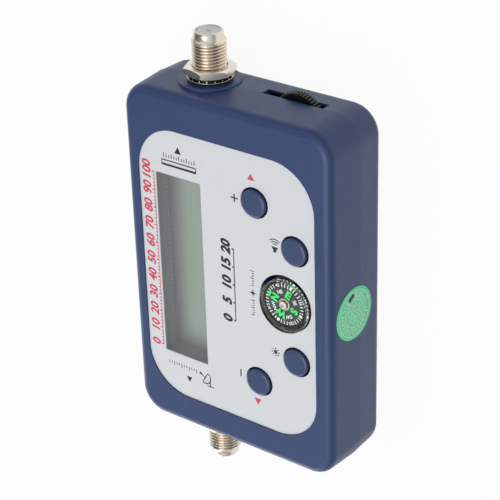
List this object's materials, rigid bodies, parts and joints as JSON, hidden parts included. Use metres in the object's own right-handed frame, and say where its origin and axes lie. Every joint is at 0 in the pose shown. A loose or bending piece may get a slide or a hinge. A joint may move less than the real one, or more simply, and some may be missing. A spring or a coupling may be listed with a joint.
{
  "type": "satellite signal meter",
  "caption": "Hand-held signal meter with a display, push buttons, a compass and a gain wheel in a flat two-part case, and a threaded coaxial connector on each end.",
  "frame": {"origin": "under the middle of the meter, on the flat back that it lies on", "axes": "+Z out of the face; +X to the end with the gain wheel and the receiver's connector; +Y to the long side with the display"},
  "size_m": [0.1342, 0.07, 0.0246],
  "materials": {
    "blue_plastic": "satin moulded plastic, dark blue",
    "printed_panel": "printed film, pale grey",
    "clear_plastic": "clear plastic",
    "display_glass": "grey-green liquid crystal display",
    "white_plastic": "white moulded plastic",
    "diffuser": "pale light guide",
    "contact_rubber": "silicone contact strip",
    "black_plastic": "black moulded plastic",
    "wheel_plastic": "near-black knurled plastic",
    "circuit_board": "green glass-fibre board",
    "tinplate": "tin-plated sheet",
    "screw_steel": "plated steel",
    "brass": "polished brass",
    "nickel_plate": "nickel-plated brass",
    "seal_paper": "green printed paper"
  },
  "bodies": {
    "case": {"front_shell": "blue_plastic", "rear_shell": "blue_plastic", "front_overlay": "printed_panel", "seal_sticker": "seal_paper", "case_screw_1": "screw_steel", "case_screw_2": "screw_steel", "case_screw_3": "screw_steel", "case_screw_4": "screw_steel", "board_screw_1": "screw_steel", "board_screw_2": "screw_steel", "board_screw_3": "screw_steel", "lcd_window": "clear_plastic", "lcd_glass": "display_glass", "lcd_holder": "white_plastic", "lcd_light_guide": "diffuser", "lcd_contact_strip_outer": "contact_rubber", "lcd_contact_strip_inner": "contact_rubber", "attenuator_up_switch": "black_plastic", "buzzer_key_switch": "black_plastic", "light_key_switch": "black_plastic", "attenuator_down_switch": "black_plastic", "compass_cup": "black_plastic", "compass_dome": "clear_plastic", "compass_pivot": "brass", "potentiometer_body": "black_plastic", "display_board": "circuit_board", "processor": "black_plastic", "buzzer": "black_plastic", "board_header": "black_plastic", "rf_board": "circuit_board", "rf_shield_frame": "tinplate", "rf_shield_lid": "tinplate", "receiver_connector_barrel": "nickel_plate", "receiver_connector_insulator": "white_plastic", "receiver_connector_contact": "brass", "receiver_connector_washer": "nickel_plate", "receiver_connector_nut": "nickel_plate", "dish_connector_barrel": "nickel_plate", "dish_connector_insulator": "white_plastic", "dish_connector_contact": "brass", "dish_connector_washer": "nickel_plate", "dish_connector_nut": "nickel_plate"},
    "attenuator_up": {"attenuator_up_button": "blue_plastic", "attenuator_up_plunger": "black_plastic"},
    "buzzer_key": {"buzzer_key_button": "blue_plastic", "buzzer_key_plunger": "black_plastic"},
    "light_key": {"light_key_button": "blue_plastic", "light_key_plunger": "black_plastic"},
    "attenuator_down": {"attenuator_down_button": "blue_plastic", "attenuator_down_plunger": "black_plastic"},
    "wheel": {"gain_wheel": "wheel_plastic", "potentiometer_rotor": "white_plastic"},
    "card": {"compass_card": "black_plastic", "compass_jewel": "brass", "compass_magnet": "screw_steel"}
  },
  "joints": [
    {"name": "attenuator_up_press", "type": "slide", "parent": "case", "child": "attenuator_up", "axis": [0, 0, -1], "range_m": [0, 0.0005], "stiffness_N_per_m": 1500, "springref_m": -0.0003},
    {"name": "buzzer_press", "type": "slide", "parent": "case", "child": "buzzer_key", "axis": [0, 0, -1], "range_m": [0, 0.0005], "stiffness_N_per_m": 1500, "springref_m": -0.0003},
    {"name": "light_press", "type": "slide", "parent": "case", "child": "light_key", "axis": [0, 0, -1], "range_m": [0, 0.0005], "stiffness_N_per_m": 1500, "springref_m": -0.0003},
    {"name": "attenuator_down_press", "type": "slide", "parent": "case", "child": "attenuator_down", "axis": [0, 0, -1], "range_m": [0, 0.0005], "stiffness_N_per_m": 1500, "springref_m": -0.0003},
    {"name": "gain_wheel_turn", "type": "hinge", "parent": "case", "child": "wheel", "pos_m": [0.0463, -0.01475, 0.0096], "axis": [0, 0, 1], "range_deg": [-140, 140]},
    {"name": "compass_card_turn", "type": "hinge", "parent": "case", "child": "card", "pos_m": [-0.0003, -0.01895, 0.0229], "axis": [0, 0, 1], "continuous": true}
  ]
}
